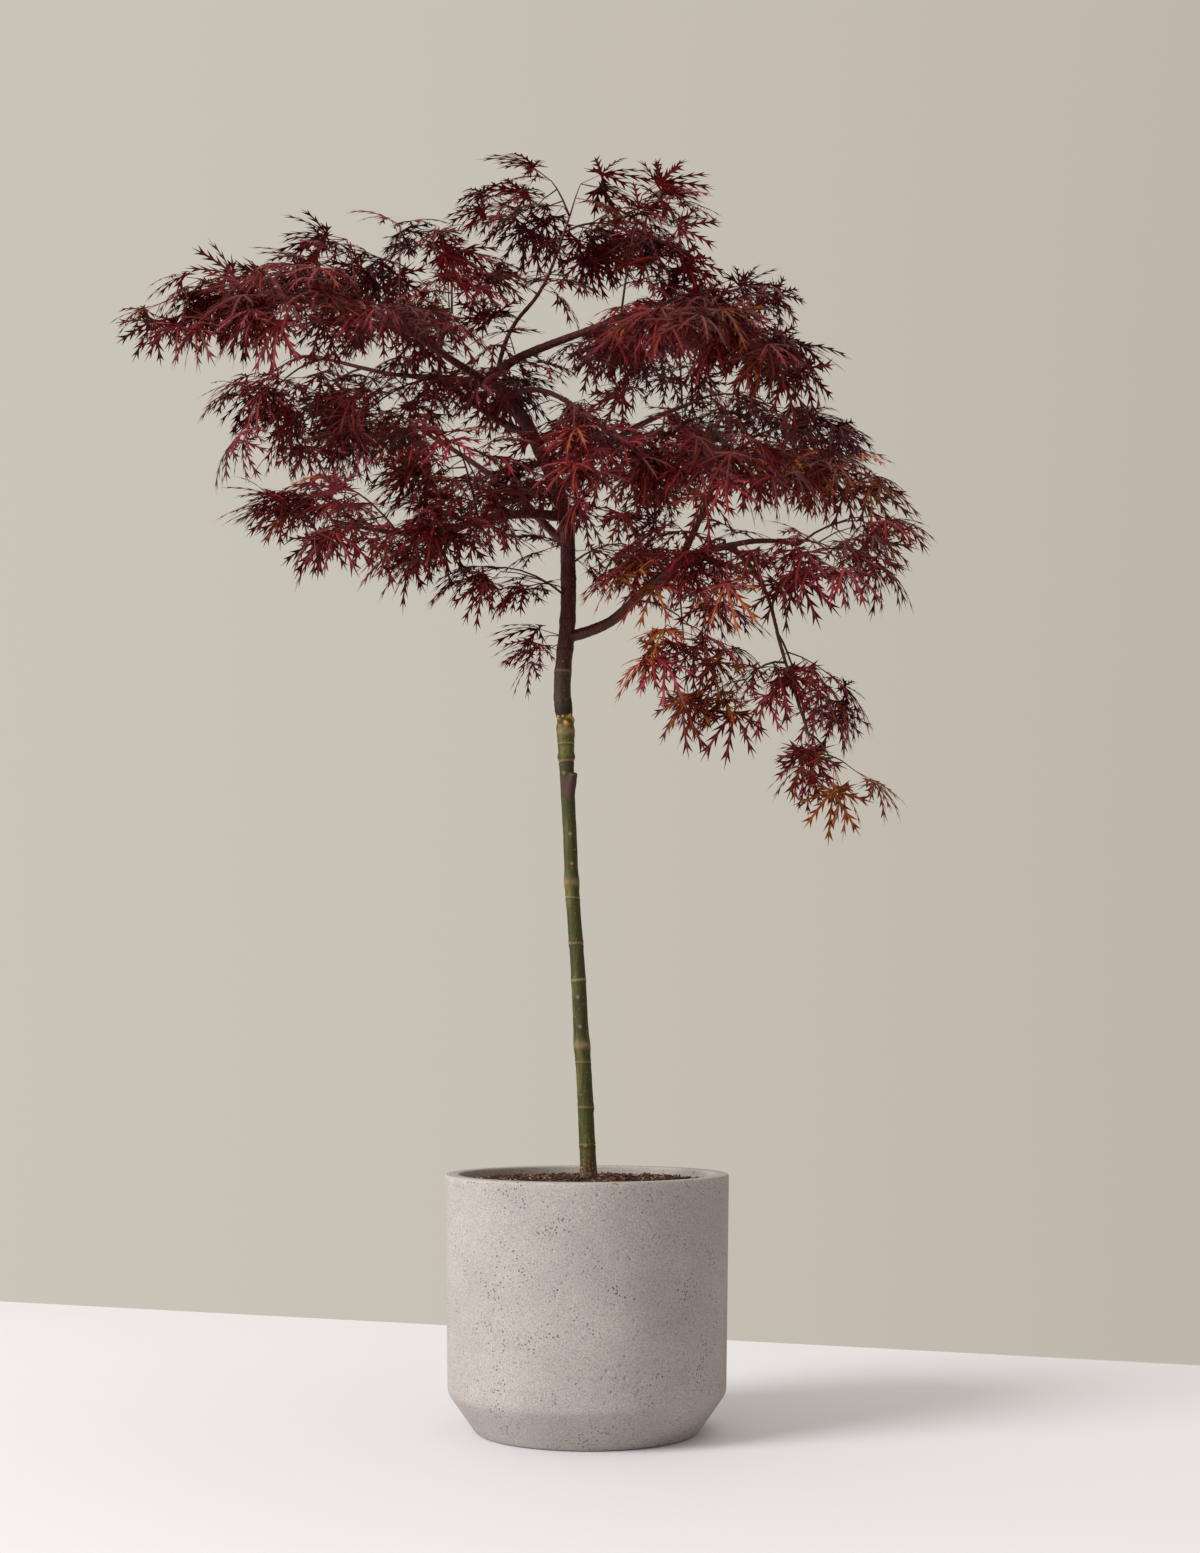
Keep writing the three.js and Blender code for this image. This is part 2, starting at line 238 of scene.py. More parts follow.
def makeFloor():
    material, _, shader = newMaterial("floorPaint")
    shader.inputs["Base Color"].default_value = view["floor"]
    shader.inputs["Roughness"].default_value = 0.7
    size = view["floorSize"]
    x, y, turn = view["floorEdge"]
    bm = bmesh.new()
    bmesh.ops.create_grid(bm, x_segments=1, y_segments=1, size=size / 2)
    bmesh.ops.translate(bm, verts=bm.verts, vec=(0, -size / 2, 0))
    place = Matrix.Translation((x, y, 0)) @ Matrix.Rotation(math.radians(turn), 4, "Z")
    bmesh.ops.transform(bm, verts=bm.verts, matrix=place)
    addObject("floor", bm, [material], smooth=False)


def addLight(name, place, size, watts, colour):
    data = bpy.data.lights.new(name, "AREA")
    data.shape = "DISK"
    data.size = size
    data.energy = watts
    data.color = colour
    light = bpy.data.objects.new(name, data)
    light.location = place
    light.rotation_euler = (Vector((0, 0, view["aim"])) - Vector(place)).to_track_quat("-Z", "Y").to_euler()
    bpy.context.scene.collection.objects.link(light)


def makeLights():
    for name, settings in lights.items():
        addLight(name, *settings)
    world = bpy.data.worlds.new("studio")
    world.use_nodes = True
    tree = world.node_tree
    direction = addNode(tree, "ShaderNodeTexCoord").outputs["Generated"]
    across = addNode(tree, "ShaderNodeSeparateXYZ", {"Vector": direction}).outputs[0]
    left, middle, right = view["wall"]
    wall = ramp(tree, maths(tree, "ADD", across, 0.5), [(0.22, left), (0.46, middle), (0.76, right)])
    tree.links.new(wall, tree.nodes["Background"].inputs["Color"])
    bpy.context.scene.world = world
    bpy.context.scene.view_settings.view_transform = "Standard"


# pot

pot = {
    "segments": 400,
    "wall": 0.014,
    "chamferHeight": 0.040,
    "footRadius": 0.110,
    "draft": 0.0025,  # how much the side leans in below the rim
    "base": 0.022,
    "rimBevel": 0.0018,
    "chamferBevel": 0.004,
    "innerChamfer": 0.004,  # how much higher the slanted band starts inside
    "innerFoot": 0.006,  # how much narrower the floor is than the foot
    "rowHeight": 0.0022,
    "drainRadius": 0.006,
    "drainCircle": 0.055,
    "drainTurns": (90, 210, 330),
    "pits": 520,
    "pitDepth": 0.0007,
    "pitMargin": 0.008,  # smooth concrete left at the rim and at the slanted band
    "pitSizes": (0.24, 0.34, 0.42),  # how far a pit's edge is drawn in, of a row
}


def makeConcrete():
    material, tree, shader = newMaterial("concrete")
    at = objectCoords(tree)
    clouds = ramp(tree, noiseOn(tree, at, 13, 5), [
        (0.30, srgb(153, 147, 143)), (0.52, srgb(160, 154, 150)), (0.72, srgb(167, 161, 157)),
    ])
    sand = ramp(tree, noiseOn(tree, at, 620, 3, 0.75), [(0.34, 0.72), (0.5, 1.0), (0.66, 1.22)])
    colour = mixColour(tree, 0.9, clouds, sand, "MULTIPLY")
    grains = ramp(tree, cellsOn(tree, at, 420), [(0.12, srgb(150, 138, 128)), (0.26, (1, 1, 1, 1))])
    colour = mixColour(tree, 0.7, colour, grains, "MULTIPLY")
    # pinholes gather in loose patches; they are painted dark, as painted shade inside the holes
    patches = ramp(tree, noiseOn(tree, at, 30, 3), [(0.52, 0.0), (0.60, 1.0)])
    holes = ramp(tree, cellsOn(tree, at, 250), [(0.16, 1.0), (0.26, 0.0)])
    pinholes = maths(tree, "MULTIPLY", patches, holes)
    colour = mixColour(tree, pinholes, colour, srgb(84, 76, 71))
    height = addNode(tree, "ShaderNodeSeparateXYZ", {"Vector": at}).outputs[2]
    # painted shade and painted highlight: the slanted band at the foot is painted darker, and a thin line
    # above it and the rim's top edge are painted lighter
    shadeAndRimHighlight = ramp(tree, maths(tree, "DIVIDE", height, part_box("pot")[1].z), [
        (0.0, 0.95), (0.15, 1.0), (0.175, 1.02), (0.975, 1.0), (1.0, 1.14),
    ])
    colour = mixColour(tree, 1.0, colour, shadeAndRimHighlight, "MULTIPLY")
    tree.links.new(colour, shader.inputs["Base Color"])
    rough = ramp(tree, noiseOn(tree, at, 40, 4), [(0.3, 0.78), (0.7, 0.9)])
    tree.links.new(rough, shader.inputs["Roughness"])
    relief = maths(tree, "SUBTRACT", noiseOn(tree, at, 700, 4, 0.65), pinholes)
    addBump(tree, shader, relief, 0.0004, 0.7)
    return material


def potRadius(low, high, z):  # the outer side, which leans in a little below the rim
    top = (high.x - low.x) / 2
    return top - pot["draft"] * (high.z - z) / (high.z - pot["chamferHeight"])


def spunPot(low, high):
    wall, chamfer, base = pot["wall"], pot["chamferHeight"], pot["base"]
    rim, foot = potRadius(low, high, high.z), pot["footRadius"]
    inner = potRadius(low, high, chamfer) - wall
    profile = [
        (0, 0), (foot, 0), (potRadius(low, high, chamfer), chamfer), (rim, high.z),
        (rim - wall, high.z), (inner, chamfer + pot["innerChamfer"]),
        (foot - pot["innerFoot"], base), (0, base),
    ]
    bm = bmesh.new()
    corners = [bm.verts.new((radius, 0, z)) for radius, z in profile]
    for a, b in zip(corners, corners[1:]):
        bm.edges.new((a, b))
    for picked, offset, segments in (
        (corners[3:5], pot["rimBevel"], 4),
        (corners[1:3], pot["chamferBevel"], 5),
    ):
        bmesh.ops.bevel(
            bm, geom=picked, offset=offset, segments=segments,
            profile=0.5, affect="VERTICES", material=-1,
        )
    for edge in [e for e in bm.edges if e.calc_length() > 3 * pot["rowHeight"]]:
        rows = round(edge.calc_length() / pot["rowHeight"])
        outside = min(v.co.x for v in edge.verts) > inner + wall / 2
        bmesh.ops.subdivide_edges(bm, edges=[edge], cuts=rows - 1 if outside else rows // 4)
    fullSpin(bm, pot["segments"])
    return bm


def pitted(bm, low, high):  # small air holes left by the casting, in loose patches on the side
    rng = random.Random(7)
    bm.faces.index_update()
    bm.faces.ensure_lookup_table()
    tree = BVHTree.FromBMesh(bm)
    chosen = []
    while len(chosen) < pot["pits"]:
        turn = rng.uniform(0, math.tau)
        z = rng.uniform(pot["chamferHeight"] + pot["pitMargin"], high.z - pot["pitMargin"])
        radius = potRadius(low, high, z)
        spot = Vector((radius * math.cos(turn), radius * math.sin(turn), z))
        face = bm.faces[tree.find_nearest(spot)[2]]
        if noise.noise(spot * 24) > rng.uniform(-0.1, 0.6) and face not in chosen:
            chosen.append(face)
    for share in pot["pitSizes"]:
        picked = [face for face in chosen if rng.random() < 0.5]
        chosen = [face for face in chosen if face not in picked]
        bmesh.ops.inset_individual(bm, faces=picked, thickness=pot["rowHeight"] * share)
        for face in picked:
            inward = face.normal * -pot["pitDepth"]
            for vert in face.verts:
                vert.co += inward
    return bm


def makePot(material):
    low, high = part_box("pot")
    piece = addObject("castPot", pitted(spunPot(low, high), low, high), [material])
    drains = bmesh.new()
    for turn in pot["drainTurns"]:
        place = Matrix.Rotation(math.radians(turn), 4, "Z")
        place = place @ Matrix.Translation((pot["drainCircle"], 0, 0))
        bmesh.ops.create_cone(
            drains, cap_ends=True, segments=40, radius1=pot["drainRadius"],
            radius2=pot["drainRadius"], depth=3 * pot["base"], matrix=place,
        )
    cutter = addObject("drainCutter", drains, [])
    cut = piece.modifiers.new("drains", "BOOLEAN")
    cut.object = cutter
    cut.operation = "DIFFERENCE"
    bm = bmesh.new()
    bm.from_mesh(evaluatedMesh(piece))
    bpy.data.objects.remove(cutter)
    piece = addObject("concretePot", bm, [material])
    finishPiece(piece, "concrete", "pot")


# compost

compost = {
    "segments": 150,
    "rings": 46,
    "gap": 0.0003,  # to the pot's wall
    "foot": (0.1037, 0.1232, 0.044),  # its lower radii, and the height of the upper one
    "mound": 0.004,  # how far it falls from the stem to the wall
    "settled": 0.0008,
    "lump": 0.0018,
    "chips": 2600,
    "fibres": 420,
    "chip": ((1.4, 7.0), (0.9, 2.8), (0.5, 1.4)),  # millimetres
    "fibre": (7, 14),
    "fibreMargin": 0.009,
    "raised": (-0.0004, 0.0022),  # how high chips lie in the surface
    "ragged": 0.0003,
}


def makePeat():
    material, tree, shader = newMaterial("peat")
    at = objectCoords(tree)
    crumbs = ramp(tree, noiseOn(tree, at, 260, 6, 0.7), [
        (0.34, srgb(18, 11, 8)), (0.48, srgb(48, 29, 21)), (0.60, srgb(92, 58, 42)),
        (0.74, srgb(150, 108, 78)),
    ])
    tone = ramp(tree, attribute(tree, "tone"), [
        (0.0, srgb(16, 10, 8)), (0.3, srgb(40, 24, 18)), (0.52, srgb(78, 44, 31)),
        (0.75, srgb(136, 88, 58)), (1.0, srgb(228, 192, 150)),
    ])
    colour = mixColour(tree, 0.72, crumbs, tone)
    tree.links.new(colour, shader.inputs["Base Color"])
    shader.inputs["Roughness"].default_value = 0.92
    addBump(tree, shader, noiseOn(tree, at, 700, 5, 0.7), 0.0008)
    return material


def makeCompost(material):
    low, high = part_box("compost")
    rng = random.Random(11)
    edge = high.x - compost["gap"]
    drop = compost["mound"]
    foot, waist, waistHeight = compost["foot"]
    bm = bmesh.new()
    outline = [
        (0, low.z), (foot, low.z), (waist, waistHeight), (edge, high.z - drop), (0, high.z),
    ]
    corners = [bm.verts.new((radius, 0, z)) for radius, z in outline]
    lines = [bm.edges.new(pair) for pair in zip(corners, corners[1:])]
    bmesh.ops.subdivide_edges(bm, edges=lines[3:], cuts=compost["rings"])
    fullSpin(bm, compost["segments"])
    tone = bm.verts.layers.float.new("tone")
    for vert in bm.verts:
        if vert.co.z > high.z - drop - 0.0002:
            away = math.hypot(vert.co.x, vert.co.y) / edge
            vert.co.z += compost["lump"] * noise.fractal(vert.co * 120, 0.6, 2.2, 4)
            vert.co.z -= compost["settled"] * away
        vert[tone] = 0.35 + 0.4 * noise.noise(vert.co * 700)
    finishPiece(addObject("compostBed", bm, [material]), "compost", "compost")

    bm = bmesh.new()
    tone = bm.verts.layers.float.new("tone")
    ragged = compost["ragged"]
    for index in range(compost["chips"] + compost["fibres"]):
        fibre = index >= compost["chips"]
        radius = edge * math.sqrt(rng.random()) * 0.985
        turn = rng.uniform(0, math.tau)
        size = Vector([rng.uniform(*span) for span in compost["chip"]])
        if fibre:
            size = Vector((rng.uniform(*compost["fibre"]), 0.45, 0.4))
            radius = min(radius, edge - compost["fibreMargin"])
        height = high.z - drop * (radius / edge) + rng.uniform(*compost["raised"])
        lean = rng.gauss(0, 0.16 if fibre else 0.32)
        tilt = Euler((rng.gauss(0, 0.4), lean, rng.uniform(0, math.tau)))
        place = Matrix.LocRotScale(
            (radius * math.cos(turn), radius * math.sin(turn), height), tilt, size * 0.001,
        )
        chip = bmesh.ops.create_cube(bm, size=1, matrix=place)["verts"]
        shade = min(1, max(0, rng.betavariate(1.5, 2.1) + (0.25 if fibre else 0)))
        for vert in chip:
            vert.co += Vector([rng.uniform(-ragged, ragged) for _ in range(3)])
            vert[tone] = shade
            reach = math.hypot(vert.co.x, vert.co.y)
            if reach > edge:  # nothing pokes into the pot's wall
                vert.co.xy *= edge / reach
    finishPiece(addObject("barkChips", bm, [material], smooth=False), "compost")


# stem and limbs

stem = {
    "voxel": 0.0008,
    "share": 0.06,  # makes up for what rounding takes off a tube of ten sides
    "rings": [0.282, 0.319, 0.364, 0.481, 0.526, 0.661, 0.678],
    "paleRings": [0.445],
    "knees": [0.381, 0.542, 0.690],  # swollen leaf joints
    "marks": [  # height, side in degrees, size: bud scars and small spurs
        (0.381, -60, 1.4), (0.381, 120, 1.4), (0.399, -95, 1.0), (0.428, -100, 1.2),
        (0.542, -125, 1.5), (0.542, 60, 1.4), (0.560, -80, 1.0), (0.589, -85, 1.4),
        (0.649, -110, 1.2), (0.666, 175, 1.8), (0.666, -10, 1.6), (0.282, -100, 1.2),
        (0.319, -20, 1.2), (0.481, -150, 1.2), (0.697, -70, 2.6), (0.702, -130, 2.4),
        (0.703, 10, 2.4), (0.699, 100, 2.2),
    ],
    "stub": {"z": 0.624, "side": -62, "length": 0.027, "radius": 0.0060},
    "graft": 0.707,
    "tenon": 0.005,  # how far the stem's top runs up inside the scion
    "wrinkle": 0.00022,
}
limb = {
    "voxel": 0.0011,
    "share": 0.15,  # the same for tubes of six sides
    "rings": [0.750, 0.772, 0.801, 0.842, 0.889, 0.930, 0.968],
    "knee": 0.0006,
    "overlap": 0.003,  # how far the scion's end closes over the stem
    "collar": 0.718,  # height of the swelling above the graft
    "wrinkle": 0.00026,
}


def section(name, z):  # middle and radius of a stem at one height
    bm = mergedCopy([name])
    cut = bmesh.ops.bisect_plane(
        bm, geom=bm.verts[:] + bm.edges[:] + bm.faces[:], plane_co=(0, 0, z), plane_no=up,
    )["geom_cut"]
    points = [item.co.copy() for item in cut if isinstance(item, bmesh.types.BMVert)]
    bm.free()
    middle = sum(points, Vector()) / len(points)
    return middle, sum((point - middle).length for point in points) / len(points)


def aroundStem(name, z, side):
    middle, radius = section(name, z)
    turn = math.radians(side)
    return middle + Vector((math.cos(turn), math.sin(turn), 0)) * radius


def fattened(bm, share, extra):  # each point moves out by a share of its tube's radius
    tree = BVHTree.FromBMesh(bm)
    moves = []
    for vert in bm.verts:
        hit = tree.ray_cast(vert.co - vert.normal * 1e-5, -vert.normal, 0.04)
        moves.append((hit[3] or 0) / 2 * share + extra)
    for vert, move in zip(bm.verts, moves):
        vert.co += vert.normal * move
    return bm


def grownTogether(bm, voxel):  # rounds the tubes and joins them into one skin
    rough = addObject("roughWood", bm, [])
    rounding = rough.modifiers.new("round", "SUBSURF")
    rounding.levels = rounding.render_levels = 2
    joining = rough.modifiers.new("join", "REMESH")
    joining.mode = "VOXEL"
    joining.voxel_size = voxel
    joined = bmesh.new()
    joined.from_mesh(evaluatedMesh(rough))
    bmesh.ops.smooth_vert(
        joined, verts=joined.verts, factor=0.5, use_axis_x=True, use_axis_y=True, use_axis_z=True,
    )
    joined.normal_update()
    return joined


def makeGreenBark():
    material, tree, shader = newMaterial("greenBark")
    at = objectCoords(tree)
    height = addNode(tree, "ShaderNodeSeparateXYZ", {"Vector": at}).outputs[2]
    wander = maths(tree, "MULTIPLY", noiseOn(tree, at, 160, 3), 0.012)
    level = maths(tree, "SUBTRACT", maths(tree, "ADD", height, wander), 0.006)
    along = ramp(tree, maths(tree, "DIVIDE", level, 0.8), [
        (0.0, srgb(112, 74, 52)), (0.326, srgb(140, 96, 68)), (0.336, srgb(92, 78, 28)),
        (0.352, srgb(68, 70, 12)), (0.50, srgb(52, 56, 9)), (0.62, srgb(60, 62, 12)),
        (0.76, srgb(56, 60, 14)), (0.846, srgb(54, 58, 14)), (0.868, srgb(70, 66, 20)),
        (0.880, srgb(48, 48, 20)), (0.890, srgb(26, 26, 16)),
    ])
    streaks = noiseOn(tree, objectCoords(tree, (420, 420, 46)), 1, 5, 0.65)
    colour = mixColour(tree, ramp(tree, streaks, [(0.38, 0.0), (0.66, 0.8)]), along, srgb(36, 31, 10))
    moss = noiseOn(tree, objectCoords(tree, (60, 60, 22)), 1, 4)
    colour = mixColour(tree, ramp(tree, moss, [(0.5, 0.0), (0.72, 0.7)]), colour, srgb(108, 106, 42))
    # pale corky pores, longer up the stem than round it
    pores = ramp(tree, cellsOn(tree, objectCoords(tree, (430, 430, 190)), 1), [
        (0.10, 1.0), (0.19, 0.0),
    ])
    poreCount = ramp(tree, noiseOn(tree, at, 70, 2), [(0.42, 0.0), (0.55, 1.0)])
    pores = maths(tree, "MULTIPLY", pores, poreCount)
    colour = mixColour(tree, pores, colour, srgb(164, 136, 84))
    rust = ramp(tree, cellsOn(tree, objectCoords(tree, (620, 620, 420)), 1), [(0.12, 0.75), (0.24, 0.0)])
    rustCount = ramp(tree, noiseOn(tree, at, 45, 2), [(0.40, 0.0), (0.62, 1.0)])
    colour = mixColour(tree, maths(tree, "MULTIPLY", rust, rustCount), colour, srgb(128, 82, 46))
    crust = ramp(tree, cellsOn(tree, at, 330), [(0.08, 1.5), (0.3, 0.95), (0.5, 0.35)])
    rugged = ramp(tree, height, [(0.260, 1.0), (0.282, 0.0)])
    colour = mixColour(tree, rugged, colour, mixColour(tree, 1.0, colour, crust, "MULTIPLY"))
    colour = mixColour(tree, attribute(tree, "scar"), colour, srgb(62, 36, 32))
    colour = mixColour(tree, attribute(tree, "pale"), colour, srgb(176, 146, 104))
    colour = mixColour(tree, attribute(tree, "callus"), colour, srgb(200, 142, 44))
    tree.links.new(colour, shader.inputs["Base Color"])
    shader.inputs["Roughness"].default_value = 0.66
    shader.inputs["Specular IOR Level"].default_value = 0.3
    relief = maths(tree, "ADD", maths(tree, "MULTIPLY", streaks, 0.6), maths(tree, "MULTIPLY", pores, 0.5))
    addBump(tree, shader, relief, 0.0005, 0.8)
    return material


def makeRedBark():
    material, tree, shader = newMaterial("redBark")
    at = objectCoords(tree)
    height = addNode(tree, "ShaderNodeSeparateXYZ", {"Vector": at}).outputs[2]
    streaks = noiseOn(tree, objectCoords(tree, (330, 330, 90)), 1, 5, 0.6)
    colour = ramp(tree, streaks, [
        (0.30, srgb(36, 9, 9)), (0.50, srgb(64, 18, 17)), (0.70, srgb(98, 36, 28)),
    ])
    lower = ramp(tree, height, [(0.735, 0.85), (0.765, 0.3), (0.86, 0.0)])
    colour = mixColour(tree, lower, colour, srgb(52, 46, 24))
    pores = ramp(tree, cellsOn(tree, objectCoords(tree, (380, 380, 240)), 1), [
        (0.09, 0.8), (0.17, 0.0),
    ])
    colour = mixColour(tree, pores, colour, srgb(138, 104, 88))
    colour = mixColour(tree, attribute(tree, "scar"), colour, srgb(28, 15, 14))
    colour = mixColour(tree, attribute(tree, "pale"), colour, srgb(120, 92, 72))
    tree.links.new(colour, shader.inputs["Base Color"])
    shader.inputs["Roughness"].default_value = 0.62
    shader.inputs["Specular IOR Level"].default_value = 0.25
    addBump(tree, shader, maths(tree, "ADD", streaks, pores), 0.0004, 0.7)
    return material


def addStub(bm, spec):  # what a pruned shoot left behind
    base = aroundStem("rootstock", spec["z"], spec["side"])
    turn = math.radians(spec["side"])
    lean = Vector((math.cos(turn) * 0.42, math.sin(turn) * 0.42, 1)).normalized()
    inside = base - Vector((math.cos(turn), math.sin(turn), 0)) * spec["radius"] * 0.9
    place = Matrix.Translation(inside + lean * spec["length"] / 2)
    place = place @ lean.to_track_quat("Z", "Y").to_matrix().to_4x4()
    cone = bmesh.ops.create_cone(
        bm, cap_ends=True, segments=16, radius1=spec["radius"], radius2=spec["radius"] * 0.72,
        depth=spec["length"], matrix=place,
    )["verts"]
    rings = [edge for edge in bm.edges if all(vert in cone for vert in edge.verts)]
    bmesh.ops.bevel(
        bm, geom=[edge for edge in rings if edge.calc_length() < spec["radius"]],
        offset=0.0012, segments=3, profile=0.5, affect="EDGES", material=-1,
    )
    return inside + lean * spec["length"] / 2


def makeStem(material):
    bm = fattened(mergedCopy(["rootstock"]), stem["share"], 0.0001)
    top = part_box("rootstock")[1].z
    ends = [vert for vert in bm.verts if vert.co.z > top - 0.002]
    bmesh.ops.translate(bm, verts=ends, vec=(0, 0, stem["tenon"]))
    stubMiddle = addStub(bm, stem["stub"])
    bm = grownTogether(bm, stem["voxel"])
    marks = [(aroundStem("rootstock", z, side), size / 1000) for z, side, size in stem["marks"]]
    scar = bm.verts.layers.float.new("scar")
    pale = bm.verts.layers.float.new("pale")
    callus = bm.verts.layers.float.new("callus")
    lift = {}
    for vert in bm.verts:
        z = vert.co.z
        wander = 0.0012 * noise.noise(vert.co * 110)
        out = stem["wrinkle"] * noise.fractal(Vector((vert.co.x * 380, vert.co.y * 380, z * 60)), 0.7, 2, 3)
        for ring in stem["rings"]:
            away = z - ring - wander
            out += 0.0005 * bell(away, 0.0035) - 0.0006 * bell(away, 0.0008)
            vert[scar] = max(vert[scar], 0.75 * bell(away + 0.0009, 0.0009))
            vert[pale] = max(vert[pale], 0.35 * bell(away - 0.0006, 0.0008))
        for ring in stem["paleRings"]:
            away = z - ring - wander
            out += 0.0006 * bell(away, 0.003)
            vert[pale] = max(vert[pale], 0.45 * bell(away, 0.0012))
        for knee in stem["knees"]:
            out += 0.0009 * bell(z - knee, 0.008)
            vert[pale] = max(vert[pale], 0.28 * bell(z - knee - wander, 0.004))
            vert[scar] = max(vert[scar], 0.5 * bell(z - knee + 0.004 - wander, 0.0009))
        for place, size in marks:
            away = (vert.co - place).length
            out += size * 0.8 * bell(away, 0.0028)
            vert[pale] = max(vert[pale], 0.45 * bell(away, 0.0015))
            vert[scar] = max(vert[scar], 0.6 * bell(away - 0.0032, 0.0011))
        # the graft: a lumpy collar with corky, orange-brown healing tissue
        near = bell(z - stem["graft"] + 0.008, 0.012)
        lumps = noise.noise(vert.co * 260)
        out += near * 0.0012 * lumps
        vert[callus] = max(0, min(1, bell(z - stem["graft"] + 0.004, 0.006) * (lumps * 3 + 0.1)))
        stubAway = (vert.co - stubMiddle).length
        vert[scar] = max(vert[scar], min(0.95, 1.3 * bell(stubAway, 0.0125)))
        lift[vert] = out
    for vert, out in lift.items():
        vert.co += vert.normal * out
    finishPiece(addObject("greenStem", bm, [material]), "green_bark", "rootstock")


def makeLimbs(material):
    names = [name for name in nodes if name == "scion" or name.startswith("limb_")]
    bm = mergedCopy(names)
    bm = fattened(bm, limb["share"], 0.0002)
    low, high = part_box("scion")
    ends = [vert for vert in bm.verts if vert.co.z < low.z + 0.002]
    bmesh.ops.translate(bm, verts=ends, vec=(0, 0, -limb["overlap"]))
    bm = grownTogether(bm, limb["voxel"])
    scar = bm.verts.layers.float.new("scar")
    pale = bm.verts.layers.float.new("pale")
    lift = {}
    for vert in bm.verts:
        z = vert.co.z
        onScion = low.x - 0.004 < vert.co.x < high.x + 0.004 and abs(vert.co.y) < 0.02
        wander = 0.0015 * noise.noise(vert.co * 110)
        out = limb["wrinkle"] * noise.fractal(vert.co * 210, 0.7, 2, 3)
        if onScion:
            for index, ring in enumerate(limb["rings"]):
                away = z - ring - wander
                out += limb["knee"] * bell(away, 0.004)
                layer = pale if index == 0 else scar
                vert[layer] = max(vert[layer], 0.8 * bell(away, 0.0012))
            out += 0.001 * bell(z - limb["collar"], 0.006) * (noise.noise(vert.co * 240) + 0.4)
            out -= 0.0007 * bell(z - low.z, 0.003)
        vert[scar] = max(vert[scar], 0.9 * bell(z - low.z - 0.004, 0.007))
        lift[vert] = out
    for vert, out in lift.items():
        vert.co += vert.normal * out
    finishPiece(addObject("redLimbs", bm, [material]), "red_bark", *names)


# leaves

leaf = {
    "variants": 10,
    "lobeSegments": (2, 4, 5, 5, 5, 4, 2),
    "lobeTurn": 34,  # degrees from one lobe to the next
    "stalk": 0.024,
    "stalkRadius": 0.00042,
    "blade": 0.054,  # length of the middle lobe
    "ribWidth": 0.0014,
    "tooth": 0.0086,
    "crest": 0.0004,
    "hang": (0.014, 0.026),
}


def leafLayers(bm):
    return [bm.verts.layers.float.new(name) for name in ("tone", "warmth", "rib")]


def lobeBlade(rng, segments, length):  # one saw-edged finger, lying along +X
    bm = bmesh.new()
    rib = leafLayers(bm)[2]
    bmesh.ops.create_grid(bm, x_segments=segments, y_segments=2, size=1)
    edges = [edge for edge in bm.edges if abs(edge.verts[0].co.y + edge.verts[1].co.y) > 1.9]
    width = leaf["ribWidth"]
    teeth = {}
    for edge in edges:
        start, end = sorted(edge.verts, key=lambda vert: vert.co.x)
        if end.co.x > 0.99:  # the tip runs out to a thread, with no teeth
            continue
        side = math.copysign(1, start.co.y)
        far = (end.co.x + 1) / 2
        reach = leaf["tooth"] * math.sin(math.pi * (0.2 + 0.62 * far)) * rng.uniform(0.75, 1.2)
        shoulder = bmesh.utils.edge_split(edge, start, 0.45)[1]
        tip = bmesh.utils.edge_split(bm.edges.get((shoulder, end)), shoulder, 0.5)[1]
        teeth[shoulder] = Vector((length * (far - 0.5 / segments), side * width, 0))
        teeth[tip] = Vector((length * far + reach * 0.72, side * (width + reach * 0.62), 0))
    for vert in bm.verts:
        along, side = (vert.co.x + 1) / 2, vert.co.y
        if vert in teeth:
            vert.co = teeth[vert]
        else:
            taper = width * (1 - 0.45 * along) if along < 0.99 else 0
            vert.co = Vector((length * along, side * taper, 0))
            vert[rib] = 1 - abs(side)
    under = bmesh.ops.duplicate(bm, geom=bm.faces[:])["geom"]
    underFaces = [item for item in under if isinstance(item, bmesh.types.BMFace)]
    bmesh.ops.reverse_faces(bm, faces=underFaces)
    bmesh.ops.dissolve_edges(
        bm, use_verts=True,
        edges=[e for e in under if isinstance(e, bmesh.types.BMEdge)
               and max(abs(v.co.y) for v in e.verts) < 1e-6 and e.calc_length() > 1e-5],
    )
    for vert in bm.verts:
        if vert[rib] > 0.5 and vert.co.x < length * 0.99 and len(vert.link_faces) > 1:
            vert.co.z += leaf["crest"]
    bmesh.ops.remove_doubles(bm, verts=bm.verts, dist=1e-5)
    bmesh.ops.holes_fill(bm, edges=[edge for edge in bm.edges if edge.is_boundary], sides=0)
    bmesh.ops.recalc_face_normals(bm, faces=bm.faces)
    return toMesh("lobe", bm)


